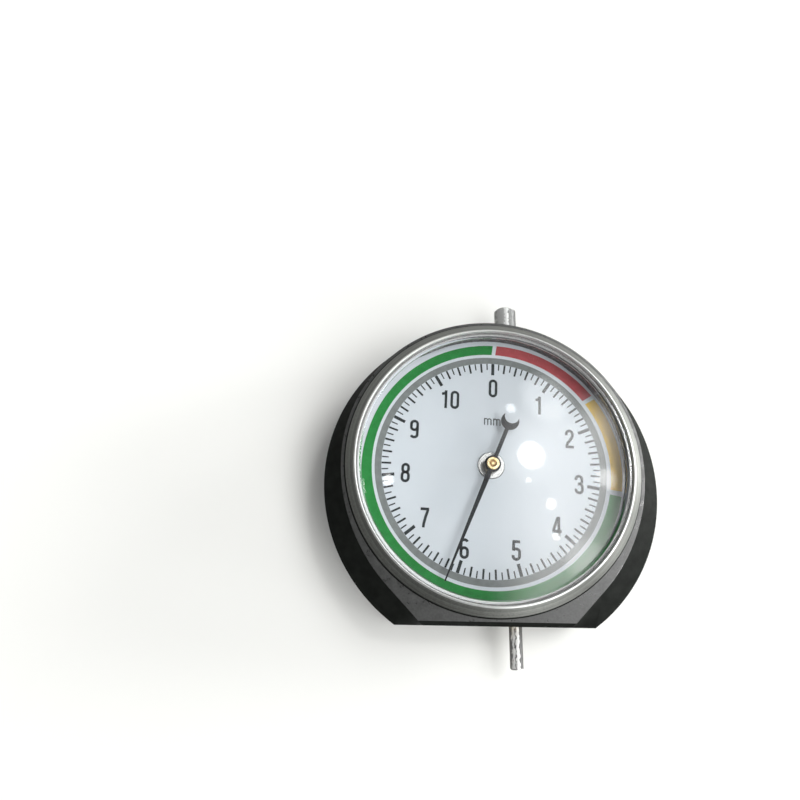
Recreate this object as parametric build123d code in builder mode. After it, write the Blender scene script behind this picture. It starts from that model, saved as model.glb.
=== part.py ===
# Dial tire tread depth gauge, lying on its back, in millimetres.
# X runs to the right of the dial, Y towards the push rod and Z out of the dial.
# The origin is on the dial's axis, on the flat back.
from build123d import *
from math import asin, atan2, cos, degrees, pi, radians, sin, sqrt, tan
import os

# Drive: one turn of the pointer for the whole scale
scale_length = 11.0           # depth for one turn, and the plunger's travel
rest_depth = 6.13             # depth that the gauge shows as it lies here
dial_turn = 2.3               # the dial sits this many degrees clockwise in the housing
pinion_teeth = 14
pressure_angle = 20.0
backlash = 0.06
pinion_width = 1.8
stop_gap = 0.07               # left at each end of the travel

# Running and seating clearances
running_clearance = 0.03      # radial, shaft in bush
seat_clearance = 0.02         # radial, parts pressed or screwed together
loose_clearance = 0.1         # radial, parts dropped into a recess
side_clearance = 0.25         # between the sliding bar and what it passes

# Stack, from the back
cover_thickness = 1.6
head_space = 0.45             # back cover to the bridge screws
bridge_screw_head = 0.6
bridge_thickness = 0.8
bar_depth = 2.4
web_gap = 0.8                 # bar to the housing's web
web_thickness = 0.9
dial_thickness = 0.5
ridge_rise = 0.4              # widest outline, above the dial's face
face_rise = 2.6               # housing's front face, above the dial's face
rim_rise = 4.3                # top of the bezel, above the dial's face
dome_rise = 2.3               # top of the lens, above the bezel

# Housing
base_distance = 24.15         # dial axis to the measuring base
base_chamfer = 0.65
ridge_drop = 2.6              # centre of the widest outline, below the dial's axis
rear_draft = 4.0              # degrees, from the widest outline to the back
rear_fillet = 0.8
front_wall = 1.1              # round the bezel, at the front face
flank_angle = 46.0            # of the straight flanks, from the base
flank_wall = 2.1              # bezel's bore to a flank
side_wall = 3.0
base_wall = 3.2
bezel_bore = 22.5             # radius
cover_ledge = 1.2
cover_edge_chamfer = 0.3

# Dial, bezel and lens
dial_hole_radius = 2.15
dial_foot_radius = 0.6
dial_foot_length = 0.6
dial_foot_distance = 15.0
skirt_wall = 0.65
lip_width = 0.4
lip_thickness = 0.5
rim_width = 0.3
bezel_overhang = 0.5          # over the housing's front face
bezel_edge_height = 0.35
bezel_foot_chamfer = 0.15
rim_round = 0.12
lens_edge = 1.2
lens_thickness = 1.1
lens_step = 0.5               # dome stands inside the bezel's opening
dome_shoulder = 0.25          # upright edge of the dome, above its flange
lens_edge_wall = 0.4          # dome's edge to the hollow under it
spacer_wall = 0.55

# Pointer
pointer_length = 19.35
pointer_tip_width = 0.22
pointer_root_width = 0.85
pointer_thickness = 0.22
pointer_lift = 1.3            # above the dial's face
pointer_hub_radius = 1.3
tail_length = 7.6             # axis to the crescent's centre
tail_width = 0.62
crescent_radius = 1.45
crescent_bite_radius = 1.15
crescent_bite_offset = 0.8
boss_sleeve_radius = 0.9
boss_head_radius = 0.98
boss_head_height = 0.4
boss_floor_gap = 0.35         # sleeve above the front bush
boss_chamfer = 0.08
dimple_radius = 0.62
dimple_depth = 0.18

# Arbor and its bearings
rear_pivot_radius = 0.4
arbor_radius = 0.7
front_pivot_radius = 0.5
rear_bush_radius = 1.2
front_bush_radius = 1.4
front_boss_radius = 2.05
front_boss_rise = 0.12        # above the dial's face
washer_radius = 1.3
washer_thickness = 0.2
end_shake = 0.04
pivot_recess = 0.1            # rear pivot's end inside its bush
end_gap = 0.1                 # screws and spigots short of their holes
tooth_overlap = 0.1           # teeth start this deep in the blank

# Plunger
rod_offset = 3.75             # its axis, right of the dial's axis
rod_radius = 1.85
rod_top = 28.85               # at rest, from the dial's axis
rod_chamfer = 0.35
pin_radius = 1.0
pin_chamfer = 0.2
bar_width = 3.4
tooth_addendum = 0.2
tooth_root_depth = 0.3125
tooth_end_margin = 1.1        # plain bar beyond the last tooth
teeth_above = 8               # rack teeth above the dial's axis
teeth_below = 10
spigot_radius = 0.8
spigot_length = 3.0
cross_pin_radius = 0.4
upper_bush_radius = 2.3
lower_bush_radius = 2.0
upper_bush_inset = 0.5        # outer end, behind the front circle
guide_wall = 1.3
bush_proud = 0.4              # inside the guides
guide_floor_gap = 0.3         # guides above the back cover
bore_overrun = 1.0            # cuts run this far past what they open

# Bridge
pillar_places = [(-9.0, 7.0), (-9.0, -8.0), (9.5, -8.0)]
pillar_radius = 1.6
stub_radius = 0.7
bridge_margin = 2.5
screw_radius = 0.7
bridge_screw_head_radius = 1.3
bridge_screw_length = 2.2
slot_width = 0.35
slot_depth = 0.3

# Friction spring
leaf_thickness = 0.25
leaf_width = 2.0
leaf_gap = 0.03
leaf_bow_radius = 11.0
leaf_half_length = 5.2
foot_width = 1.6              # end of the leaf that rises to the tab
tab_length = 4.6
tab_width = 3.2
tab_thickness = 0.3
spring_screw_head_radius = 1.2
spring_screw_head = 0.5

# Cover screws
cover_screw_inset = 1.5       # from the cavity's wall
cover_screw_angle = 48.0      # of the upper pair, from the right
cover_boss_radius = 2.1
cover_screw_radius = 0.9
cover_head_radius = 1.9
cover_head_depth = 1.0
cover_screw_length = 4.6
head_sink = 0.05              # heads below the back
cross_width = 0.45
cross_depth = 0.6
cross_length = 2.2

# Heights that follow from the stack
bridge_z = cover_thickness + head_space + bridge_screw_head
bridge_top = bridge_z + bridge_thickness
bar_z = bridge_top + side_clearance
rod_z = bar_z + bar_depth / 2
web_z = bar_z + bar_depth + web_gap
web_top = web_z + web_thickness
dial_face = web_top + dial_thickness
ridge_z = dial_face + ridge_rise
face_z = dial_face + face_rise
rim_z = dial_face + rim_rise
lip_z = rim_z - lip_thickness

# Outline radii that follow from the bezel's bore
front_radius = bezel_bore + front_wall
flank_distance = bezel_bore + flank_wall
ridge_radius = front_radius + ridge_drop
skirt_radius = bezel_bore - loose_clearance
bezel_inside = skirt_radius - skirt_wall
bezel_radius = bezel_bore + bezel_overhang
lip_radius = bezel_inside - lip_width
rim_radius = lip_radius + rim_width

# Gear sizes that follow from the travel
pitch_radius = scale_length / (2 * pi)
tooth_pitch = scale_length / pinion_teeth
pinion_tip_radius = pitch_radius + tooth_addendum
pinion_root_radius = pitch_radius - tooth_root_depth
base_circle = pitch_radius * cos(radians(pressure_angle))

# Plunger places at rest
bar_low = -(teeth_below - 0.5) * tooth_pitch - tooth_end_margin
bar_high = (teeth_above + 0.5) * tooth_pitch + tooth_end_margin
upper_stop = bar_high + rest_depth + stop_gap
lower_stop = bar_low - (scale_length - rest_depth) - stop_gap
pin_tip = -base_distance - rest_depth
bar_left = pitch_radius + tooth_root_depth
bar_right = bar_left + bar_width
pin_places = [(rod_offset, bar_high - spigot_length / 2), (rod_offset, bar_low + spigot_length / 2)]

# Friction spring: a bowed leaf beside the bar, its foot under a tab on the web
leaf_centre = (bar_right + leaf_gap + leaf_bow_radius, 0.0)
leaf_end_angle = degrees(asin(leaf_half_length / leaf_bow_radius))
foot_y = leaf_half_length - foot_width
foot_angle = degrees(asin(foot_y / leaf_bow_radius))
tab_left = leaf_centre[0] - sqrt(leaf_bow_radius ** 2 - foot_y ** 2)
spring_screw_place = (tab_left + tab_length - tab_width / 2, foot_y + tab_width / 2)

# Bush ends and the pointer's direction, anticlockwise from the right
base_y = -base_distance
upper_bush_end = front_radius - upper_bush_inset
pointer_angle = 90 - dial_turn - 360 * rest_depth / scale_length
os.makedirs("parts", exist_ok=True)


def save(part, name):
    """Label a finished piece and write its STEP file."""
    part.label = name
    export_step(part, "parts/" + name + ".step")


def polar(radius, angle, centre=(0.0, 0.0)):
    """Point at an angle in degrees, anticlockwise from +X."""
    return (centre[0] + radius * cos(radians(angle)), centre[1] + radius * sin(radians(angle)))


def flipped(point):
    return (-point[0], point[1])


def arc(centre, start, end):
    """Anticlockwise arc about a centre, from one point to another."""
    first = degrees(atan2(start[1] - centre[1], start[0] - centre[0]))
    last = degrees(atan2(end[1] - centre[1], end[0] - centre[0]))
    if last < first:
        last += 360
    radius = sqrt((start[0] - centre[0]) ** 2 + (start[1] - centre[1]) ** 2)
    ThreePointArc(start, polar(radius, (first + last) / 2, centre), end)


# The front face is a circle with two straight flanks down to the base, joined by arcs.
# The widest outline is one circle cut by the base, centred below the dial.
flank_normal = (sin(radians(flank_angle)), -cos(radians(flank_angle)))
shoulder_radius = (flank_distance - front_radius * flank_normal[0]) / (1 - flank_normal[0])
shoulder_centre = (front_radius - shoulder_radius, 0.0)
front_corner = ((flank_distance + base_y * -flank_normal[1]) / flank_normal[0], base_y)
front_shoulder = polar(shoulder_radius, flank_angle - 90, shoulder_centre)
front_side = (front_radius, 0.0)

ridge_centre = (0.0, -ridge_drop)
ridge_corner = (sqrt(ridge_radius ** 2 - (base_distance - ridge_drop) ** 2), base_y)
ridge_shoulder_angle = degrees(atan2(front_shoulder[1] + ridge_drop, front_shoulder[0]))
ridge_shoulder = polar(ridge_radius, ridge_shoulder_angle, ridge_centre)
ridge_side = (sqrt(ridge_radius ** 2 - ridge_drop ** 2), 0.0)


def front_outline():
    with BuildLine() as outline:
        Line(flipped(front_corner), front_corner)
        Line(front_corner, front_shoulder)
        arc(shoulder_centre, front_shoulder, front_side)
        arc((0.0, 0.0), front_side, flipped(front_side))
        arc(flipped(shoulder_centre), flipped(front_side), flipped(front_shoulder))
        Line(flipped(front_shoulder), flipped(front_corner))
    return outline.edges()


def ridge_outline():
    with BuildLine() as outline:
        Line(flipped(ridge_corner), ridge_corner)
        arc(ridge_centre, ridge_corner, ridge_shoulder)
        arc(ridge_centre, ridge_shoulder, ridge_side)
        arc(ridge_centre, ridge_side, flipped(ridge_side))
        arc(ridge_centre, flipped(ridge_side), flipped(ridge_shoulder))
        arc(ridge_centre, flipped(ridge_shoulder), flipped(ridge_corner))
    return outline.edges()


def cut_circle(radius, inset):
    """Circle about the housing's centre, cut flat at an inset from the measuring base."""
    reach = base_distance - inset - ridge_drop
    corner = (sqrt(radius ** 2 - reach ** 2), base_y + inset)
    with BuildLine() as outline:
        Line(flipped(corner), corner)
        arc(ridge_centre, corner, flipped(corner))
    return outline.edges()


def along_y(y):
    """Plane across the plunger's axis, facing the push rod's end."""
    return Plane(origin=(rod_offset, y, rod_z), x_dir=(1, 0, 0), z_dir=(0, 1, 0))


def rod(radius, start, end, mode=Mode.ADD):
    """Round bar on the plunger's axis, between two places along Y."""
    with Locations(along_y(start)):
        Cylinder(radius, end - start, align=(Align.CENTER, Align.CENTER, Align.MIN), mode=mode)


def post(radius, place, bottom, top, mode=Mode.ADD):
    """Upright cylinder between two heights."""
    with Locations((place[0], place[1], bottom)):
        Cylinder(radius, top - bottom, align=(Align.CENTER, Align.CENTER, Align.MIN), mode=mode)


# Housing: flared shell with a web that carries the dial in front and the movement behind
cavity_radius = ridge_radius - side_wall
cover_radius = cavity_radius + cover_ledge
rear_radius = ridge_radius - ridge_z * tan(radians(rear_draft))
upper_guide = upper_stop + bush_proud
lower_guide = lower_stop - bush_proud
guide_half = upper_bush_radius + guide_wall
guide_z = cover_thickness + guide_floor_gap
screw_circle = cavity_radius - cover_screw_inset
upper_screw = polar(screw_circle, cover_screw_angle, ridge_centre)
lower_screw_y = base_y + base_wall + cover_boss_radius
lower_screw = (sqrt(screw_circle ** 2 - (lower_screw_y + ridge_drop) ** 2), lower_screw_y)
cover_screw_places = [upper_screw, flipped(upper_screw), lower_screw, flipped(lower_screw)]

with BuildPart() as housing:
    with Locations((0, -ridge_drop, 0)):
        Cone(rear_radius, ridge_radius, ridge_z, align=(Align.CENTER, Align.CENTER, Align.MIN))
    split(bisect_by=Plane(origin=(0, base_y, 0), x_dir=(1, 0, 0), z_dir=(0, 1, 0)), keep=Keep.TOP)
    with BuildSketch(Plane.XY.offset(ridge_z)):
        make_face(ridge_outline())
    with BuildSketch(Plane.XY.offset(face_z)):
        make_face(front_outline())
    loft(ruled=True)
    base_edge = housing.edges().filter_by(Axis.X).sort_by(Axis.Y)[:4].sort_by(Axis.Z)[-1]
    chamfer(base_edge, base_chamfer)
    fillet(housing.faces().sort_by(Axis.Z)[0].edges(), rear_fillet)

    # Bezel's bore, down to the web
    with BuildSketch(Plane.XY.offset(web_top)):
        Circle(bezel_bore)
    extrude(amount=face_z - web_top, mode=Mode.SUBTRACT)

    # Rear cavity and the recess of the back cover
    with BuildSketch():
        make_face(cut_circle(cavity_radius, base_wall))
    extrude(amount=web_z, mode=Mode.SUBTRACT)
    with BuildSketch():
        make_face(cut_circle(cover_radius, base_wall - cover_ledge))
    extrude(amount=cover_thickness, mode=Mode.SUBTRACT)

    # Guides of the plunger's bushes and bosses of the cover's screws
    with BuildSketch(Plane.XY.offset(guide_z)) as guides:
        with BuildLine():
            Polyline((rod_offset - guide_half, upper_guide), (rod_offset + guide_half, upper_guide),
                     (rod_offset + guide_half, front_radius - side_wall / 2),
                     (rod_offset - guide_half, front_radius - side_wall / 2), close=True)
        make_face()
        with BuildLine():
            Polyline((rod_offset - guide_half, base_y + base_wall / 2),
                     (rod_offset + guide_half, base_y + base_wall / 2),
                     (rod_offset + guide_half, lower_guide), (rod_offset - guide_half, lower_guide),
                     close=True)
        make_face()
    extrude(amount=web_z - guide_z)
    for place in cover_screw_places:
        post(cover_boss_radius, place, cover_thickness, web_z)
    for place in cover_screw_places:
        post(cover_screw_radius + seat_clearance, place, cover_thickness, cover_screw_length + end_gap,
             Mode.SUBTRACT)

    # Bores of the bushes
    rod(upper_bush_radius + seat_clearance, upper_guide - bore_overrun, ridge_radius, Mode.SUBTRACT)
    rod(lower_bush_radius + seat_clearance, base_y - bore_overrun, lower_guide + bore_overrun, Mode.SUBTRACT)

    # Holes in the web: front bush, dial feet, pillars and the spring's screw
    post(front_bush_radius + seat_clearance, (0, 0), web_z, web_top, Mode.SUBTRACT)
    for angle in (-dial_turn, 180 - dial_turn):
        post(dial_foot_radius + seat_clearance, polar(dial_foot_distance, angle), web_z, web_top, Mode.SUBTRACT)
    for place in pillar_places:
        post(stub_radius + seat_clearance, place, web_z, web_top, Mode.SUBTRACT)
    post(screw_radius + seat_clearance, spring_screw_place, web_z, web_top, Mode.SUBTRACT)
save(housing.part, "housing")

# Back cover, flush in its recess
with BuildPart() as back_cover:
    with BuildSketch():
        make_face(cut_circle(cover_radius - loose_clearance, base_wall - cover_ledge + loose_clearance))
    extrude(amount=cover_thickness)
    chamfer(back_cover.faces().sort_by(Axis.Z)[0].edges(), cover_edge_chamfer)
    for place in cover_screw_places:
        post(cover_screw_radius + loose_clearance, place, 0, cover_thickness, Mode.SUBTRACT)
        with Locations((place[0], place[1], 0)):
            Cone(cover_head_radius + loose_clearance, cover_screw_radius + loose_clearance, cover_head_depth,
                 align=(Align.CENTER, Align.CENTER, Align.MIN), mode=Mode.SUBTRACT)
save(back_cover.part, "back_cover")

# Cover screws: countersunk, with a cross recess, heads just under the back
with BuildPart() as cover_screws:
    for place in cover_screw_places:
        with Locations((place[0], place[1], head_sink)):
            Cone(cover_head_radius, cover_screw_radius, cover_head_depth,
                 align=(Align.CENTER, Align.CENTER, Align.MIN))
        post(cover_screw_radius, place, head_sink + cover_head_depth, cover_screw_length)
        with Locations((place[0], place[1], head_sink)):
            Box(cross_length, cross_width, cross_depth,
                align=(Align.CENTER, Align.CENTER, Align.MIN), mode=Mode.SUBTRACT)
            Box(cross_width, cross_length, cross_depth,
                align=(Align.CENTER, Align.CENTER, Align.MIN), mode=Mode.SUBTRACT)
save(cover_screws.part, "cover_screws")

# Dial plate, with two feet that set its turn
with BuildPart() as dial_plate:
    post(skirt_radius, (0, 0), web_top, dial_face)
    for angle in (-dial_turn, 180 - dial_turn):
        post(dial_foot_radius, polar(dial_foot_distance, angle), web_top - dial_foot_length, web_top)
    post(dial_hole_radius, (0, 0), web_top, dial_face, Mode.SUBTRACT)
save(dial_plate.part, "dial_plate")

# Bezel: skirt in the housing's bore, sloped outside, bright rim with an inward lip over the lens
with BuildPart() as bezel_ring:
    with BuildSketch(Plane.XZ):
        with BuildLine():
            Polyline(
                (bezel_inside, dial_face),
                (skirt_radius, dial_face),
                (skirt_radius, face_z),
                (bezel_radius - bezel_foot_chamfer, face_z),
                (bezel_radius, face_z + bezel_foot_chamfer),
                (bezel_radius, face_z + bezel_edge_height),
                (bezel_radius - bezel_foot_chamfer, face_z + bezel_edge_height + bezel_foot_chamfer),
                (rim_radius, rim_z - rim_round),
                (rim_radius - rim_round, rim_z),
                (lip_radius + rim_round, rim_z),
                (lip_radius, rim_z - rim_round),
                (lip_radius, lip_z),
                (bezel_inside, lip_z),
                close=True,
            )
        make_face()
    revolve(axis=Axis.Z)
save(bezel_ring.part, "bezel_ring")

# Lens: flat flange under the lip, domed window with an upright edge standing in the bezel's opening
lens_radius = bezel_inside - loose_clearance
lens_low = lip_z - lens_edge
dome_edge_radius = lip_radius - lens_step
dome_top = rim_z + dome_rise
shoulder_z = lip_z + dome_shoulder
dome_sagitta = dome_top - shoulder_z
outer_sphere = (dome_edge_radius ** 2 + dome_sagitta ** 2) / (2 * dome_sagitta)
inner_sphere = outer_sphere - lens_thickness
inner_edge_radius = dome_edge_radius - lens_edge_wall
inner_top = dome_top - lens_thickness


def sag(sphere, radius):
    """Fall of a dome from its top, at a radius."""
    return sphere - sqrt(sphere ** 2 - radius ** 2)


with BuildPart() as lens:
    with BuildSketch(Plane.XZ):
        with BuildLine():
            Line((0, inner_top), (0, dome_top))
            ThreePointArc(
                (0, dome_top),
                (dome_edge_radius / 2, dome_top - sag(outer_sphere, dome_edge_radius / 2)),
                (dome_edge_radius, shoulder_z),
            )
            Polyline(
                (dome_edge_radius, shoulder_z),
                (dome_edge_radius, lip_z),
                (lens_radius, lip_z),
                (lens_radius, lens_low),
                (inner_edge_radius, lens_low),
                (inner_edge_radius, inner_top - sag(inner_sphere, inner_edge_radius)),
            )
            ThreePointArc(
                (inner_edge_radius, inner_top - sag(inner_sphere, inner_edge_radius)),
                (inner_edge_radius / 2, inner_top - sag(inner_sphere, inner_edge_radius / 2)),
                (0, inner_top),
            )
        make_face()
    revolve(axis=Axis.Z)
save(lens.part, "lens")

# Spacer between the dial and the lens
with BuildPart() as lens_spacer:
    post(lens_radius, (0, 0), dial_face, lens_low)
    post(lens_radius - spacer_wall, (0, 0), dial_face, lens_low, Mode.SUBTRACT)
save(lens_spacer.part, "lens_spacer")

# Front bush: pressed into the web, its boss stands in the dial's hole
front_boss_top = dial_face + front_boss_rise
with BuildPart() as front_bush:
    post(front_bush_radius, (0, 0), web_z, web_top)
    post(front_boss_radius, (0, 0), web_top, front_boss_top)
    post(front_pivot_radius + running_clearance, (0, 0), web_z, front_boss_top, Mode.SUBTRACT)
save(front_bush.part, "front_bush")

# Rear bush, in the bridge
with BuildPart() as rear_bush:
    post(rear_bush_radius, (0, 0), bridge_z, bridge_top)
    post(rear_pivot_radius + running_clearance, (0, 0), bridge_z, bridge_top, Mode.SUBTRACT)
save(rear_bush.part, "rear_bush")

# Bridge plate: a rounded triangle over three pillars
with BuildPart() as bridge_plate:
    with BuildSketch(Plane.XY.offset(bridge_z)):
        with Locations(*pillar_places):
            Circle(bridge_margin)
        make_hull()
    extrude(amount=bridge_thickness)
    post(rear_bush_radius + seat_clearance, (0, 0), bridge_z, bridge_top, Mode.SUBTRACT)
    for place in pillar_places:
        post(screw_radius + loose_clearance, place, bridge_z, bridge_top, Mode.SUBTRACT)
save(bridge_plate.part, "bridge_plate")

# Pillars: a stub in the web, a tapped hole for the bridge's screw
with BuildPart() as bridge_pillars:
    for place in pillar_places:
        post(pillar_radius, place, bridge_top, web_z)
        post(stub_radius, place, web_z, web_top)
        post(screw_radius + seat_clearance, place, bridge_top, bridge_top + bridge_screw_length, Mode.SUBTRACT)
save(bridge_pillars.part, "bridge_pillars")


def slotted_screw(place, head_z, head_top, head_radius, shank_end):
    """Pan-head screw driven from the back, its head below the plate that it holds."""
    post(head_radius, place, head_z, head_top)
    post(screw_radius, place, head_top, shank_end)
    with Locations((place[0], place[1], head_z)):
        Box(2 * head_radius, slot_width, slot_depth,
            align=(Align.CENTER, Align.CENTER, Align.MIN), mode=Mode.SUBTRACT)


with BuildPart() as bridge_screws:
    for place in pillar_places:
        slotted_screw(place, bridge_z - bridge_screw_head, bridge_z, bridge_screw_head_radius,
                      bridge_top + bridge_screw_length - end_gap)
save(bridge_screws.part, "bridge_screws")

# Arbor: rear pivot, body and front pivot that carries the pointer
arbor_low = bridge_z + pivot_recess
arbor_shoulder = bridge_top + washer_thickness + end_shake
arbor_front = web_z - end_shake
pointer_z = dial_face + pointer_lift
boss_head_z = pointer_z + pointer_thickness
arbor_high = boss_head_z + boss_head_height - dimple_depth
with BuildPart() as arbor:
    post(rear_pivot_radius, (0, 0), arbor_low, arbor_shoulder)
    post(arbor_radius, (0, 0), arbor_shoulder, arbor_front)
    post(front_pivot_radius, (0, 0), arbor_front, arbor_high)
save(arbor.part, "arbor")

# Thrust washer on the bridge
with BuildPart() as thrust_washer:
    post(washer_radius, (0, 0), bridge_top, bridge_top + washer_thickness)
    post(rear_pivot_radius + running_clearance, (0, 0), bridge_top, bridge_top + washer_thickness, Mode.SUBTRACT)
save(thrust_washer.part, "thrust_washer")

# Pinion: involute teeth, one centred on the rack at rest
def involute_angle(radius):
    """Angle in degrees that an involute has turned by a radius."""
    roll = sqrt((radius / base_circle) ** 2 - 1)
    return degrees(roll - atan2(roll, 1))


half_tooth = degrees((tooth_pitch - backlash) / 4 / pitch_radius) + involute_angle(pitch_radius)
middle_radius = (base_circle + pinion_tip_radius) / 2
with BuildPart() as pinion:
    with BuildSketch(Plane.XY.offset(rod_z - pinion_width / 2)):
        Circle(pinion_root_radius)
        with BuildSketch(mode=Mode.PRIVATE) as tooth:
            with BuildLine():
                root_low = polar(pinion_root_radius - tooth_overlap, -half_tooth)
                root_high = polar(pinion_root_radius - tooth_overlap, half_tooth)
                base_low = polar(base_circle, -half_tooth)
                base_high = polar(base_circle, half_tooth)
                middle_low = polar(middle_radius, involute_angle(middle_radius) - half_tooth)
                middle_high = polar(middle_radius, half_tooth - involute_angle(middle_radius))
                tip_low = polar(pinion_tip_radius, involute_angle(pinion_tip_radius) - half_tooth)
                tip_high = polar(pinion_tip_radius, half_tooth - involute_angle(pinion_tip_radius))
                Line(root_low, base_low)
                ThreePointArc(base_low, middle_low, tip_low)
                ThreePointArc(tip_low, (pinion_tip_radius, 0), tip_high)
                ThreePointArc(tip_high, middle_high, base_high)
                Line(base_high, root_high)
                Line(root_high, root_low)
            make_face()
        with PolarLocations(0, pinion_teeth):
            add(tooth.sketch)
        Circle(arbor_radius + seat_clearance, mode=Mode.SUBTRACT)
    extrude(amount=pinion_width)
save(pinion.part, "pinion")

# Rack bar: flat bar with teeth on its left side and a tapped bore at each end
tooth_half = (tooth_pitch - backlash) / 4
flank_run = tan(radians(pressure_angle))
tip_half = tooth_half - tooth_addendum * flank_run
root_half = tooth_half + tooth_root_depth * flank_run
with BuildPart() as rack_bar:
    with BuildSketch(Plane.XY.offset(bar_z)):
        with BuildLine():
            Polyline((bar_left, bar_low), (bar_right, bar_low), (bar_right, bar_high), (bar_left, bar_high),
                     close=True)
        make_face()
        with BuildSketch(mode=Mode.PRIVATE) as rack_tooth:
            with BuildLine():
                Polyline((pitch_radius - tooth_addendum, -tip_half), (bar_left, -root_half),
                         (bar_left + tooth_overlap, -root_half), (bar_left + tooth_overlap, root_half),
                         (bar_left, root_half), (pitch_radius - tooth_addendum, tip_half), close=True)
            make_face()
        rack_places = [(0, (step + 0.5) * tooth_pitch) for step in range(-teeth_below, teeth_above)]
        with Locations(*rack_places):
            add(rack_tooth.sketch)
    extrude(amount=bar_depth)
    rod(spigot_radius + seat_clearance, bar_high - spigot_length, bar_high, Mode.SUBTRACT)
    rod(spigot_radius + seat_clearance, bar_low, bar_low + spigot_length, Mode.SUBTRACT)
    for place in pin_places:
        post(cross_pin_radius + seat_clearance, place, bar_z, bar_z + bar_depth, Mode.SUBTRACT)
save(rack_bar.part, "rack_bar")

# Push rod: bright stem, its spigot pinned in the top of the rack bar
with BuildPart() as push_rod:
    rod(rod_radius, bar_high, rod_top)
    chamfer(push_rod.faces().sort_by(Axis.Y)[-1].edges(), rod_chamfer)
    rod(spigot_radius, bar_high - spigot_length + end_gap, bar_high)
    post(cross_pin_radius + seat_clearance, pin_places[0], bar_z, bar_z + bar_depth, Mode.SUBTRACT)
save(push_rod.part, "push_rod")

# Measuring pin, its spigot pinned in the bottom of the rack bar
with BuildPart() as measuring_pin:
    rod(pin_radius, pin_tip, bar_low)
    chamfer(measuring_pin.faces().sort_by(Axis.Y)[0].edges(), pin_chamfer)
    rod(spigot_radius, bar_low, bar_low + spigot_length - end_gap)
    post(cross_pin_radius + seat_clearance, pin_places[1], bar_z, bar_z + bar_depth, Mode.SUBTRACT)
save(measuring_pin.part, "measuring_pin")

# Cross pins through the bar and both spigots
with BuildPart() as rack_pins:
    for place in pin_places:
        post(cross_pin_radius, place, bar_z, bar_z + bar_depth)
save(rack_pins.part, "rack_pins")

# Guide bushes: their inner ends are the stops of the rack bar
with BuildPart() as upper_bush:
    rod(upper_bush_radius, upper_stop, upper_bush_end)
    rod(rod_radius + running_clearance, upper_stop, upper_bush_end, Mode.SUBTRACT)
save(upper_bush.part, "upper_bush")

with BuildPart() as lower_bush:
    rod(lower_bush_radius, base_y, lower_stop)
    rod(pin_radius + running_clearance, base_y, lower_stop, Mode.SUBTRACT)
save(lower_bush.part, "lower_bush")

# Pointer: tapered needle and a tail that ends in a crescent with its horns outward
with BuildPart() as pointer:
    with BuildSketch(Plane(origin=(0, 0, pointer_z), x_dir=(*polar(1, pointer_angle), 0), z_dir=(0, 0, 1))):
        with Locations((-tail_length, 0)):
            Circle(crescent_radius)
        with Locations((-tail_length - crescent_bite_offset, 0)):
            Circle(crescent_bite_radius, mode=Mode.SUBTRACT)
        with Locations((-tail_length / 2, 0)):
            Rectangle(tail_length - crescent_radius, tail_width)
        with BuildLine():
            Polyline((0, -pointer_root_width / 2), (pointer_length, -pointer_tip_width / 2),
                     (pointer_length, pointer_tip_width / 2), (0, pointer_root_width / 2), close=True)
        make_face()
        Circle(pointer_hub_radius)
        Circle(boss_sleeve_radius + seat_clearance, mode=Mode.SUBTRACT)
    extrude(amount=pointer_thickness)
save(pointer.part, "pointer")

# Pointer's boss: brass eyelet on the arbor's front pivot, dished round its end
with BuildPart() as pointer_boss:
    post(boss_sleeve_radius, (0, 0), front_boss_top + boss_floor_gap, boss_head_z)
    post(boss_head_radius, (0, 0), boss_head_z, boss_head_z + boss_head_height)
    chamfer(pointer_boss.faces().sort_by(Axis.Z)[-1].edges(), boss_chamfer)
    with Locations((0, 0, boss_head_z + boss_head_height - dimple_depth)):
        Cone(front_pivot_radius + seat_clearance, dimple_radius, dimple_depth,
             align=(Align.CENTER, Align.CENTER, Align.MIN), mode=Mode.SUBTRACT)
    post(front_pivot_radius + seat_clearance, (0, 0), front_boss_top + boss_floor_gap, arbor_high, Mode.SUBTRACT)
save(pointer_boss.part, "pointer_boss")


def leaf_outline(first, last):
    """Stretch of the leaf between two angles above its middle."""
    inside = leaf_bow_radius - leaf_thickness
    with BuildLine() as outline:
        ThreePointArc(polar(leaf_bow_radius, 180 - last, leaf_centre),
                      polar(leaf_bow_radius, 180 - (first + last) / 2, leaf_centre),
                      polar(leaf_bow_radius, 180 - first, leaf_centre))
        Line(polar(leaf_bow_radius, 180 - first, leaf_centre), polar(inside, 180 - first, leaf_centre))
        ThreePointArc(polar(inside, 180 - first, leaf_centre),
                      polar(inside, 180 - (first + last) / 2, leaf_centre),
                      polar(inside, 180 - last, leaf_centre))
        Line(polar(inside, 180 - last, leaf_centre), polar(leaf_bow_radius, 180 - last, leaf_centre))
    return outline.edges()


leaf_z = rod_z - leaf_width / 2
tab_z = web_z - tab_thickness
with BuildPart() as friction_spring:
    with BuildSketch(Plane.XY.offset(leaf_z)):
        make_face(leaf_outline(-leaf_end_angle, leaf_end_angle))
    extrude(amount=leaf_width)
    with BuildSketch(Plane.XY.offset(leaf_z)):
        make_face(leaf_outline(foot_angle, leaf_end_angle))
    extrude(amount=web_z - leaf_z)
    with Locations((tab_left, foot_y, tab_z)):
        Box(tab_length, tab_width, tab_thickness, align=Align.MIN)
    post(screw_radius + loose_clearance, spring_screw_place, tab_z, web_z, Mode.SUBTRACT)
save(friction_spring.part, "friction_spring")

with BuildPart() as spring_screw:
    slotted_screw(spring_screw_place, tab_z - spring_screw_head, tab_z, spring_screw_head_radius,
                  web_top - end_gap)
save(spring_screw.part, "spring_screw")
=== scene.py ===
"""A dial depth gauge, dressed for its portrait: printed dial, domed window, turned bezel and moulded case."""
import math

import bmesh
import bpy
from mathutils import Matrix, Vector


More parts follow.
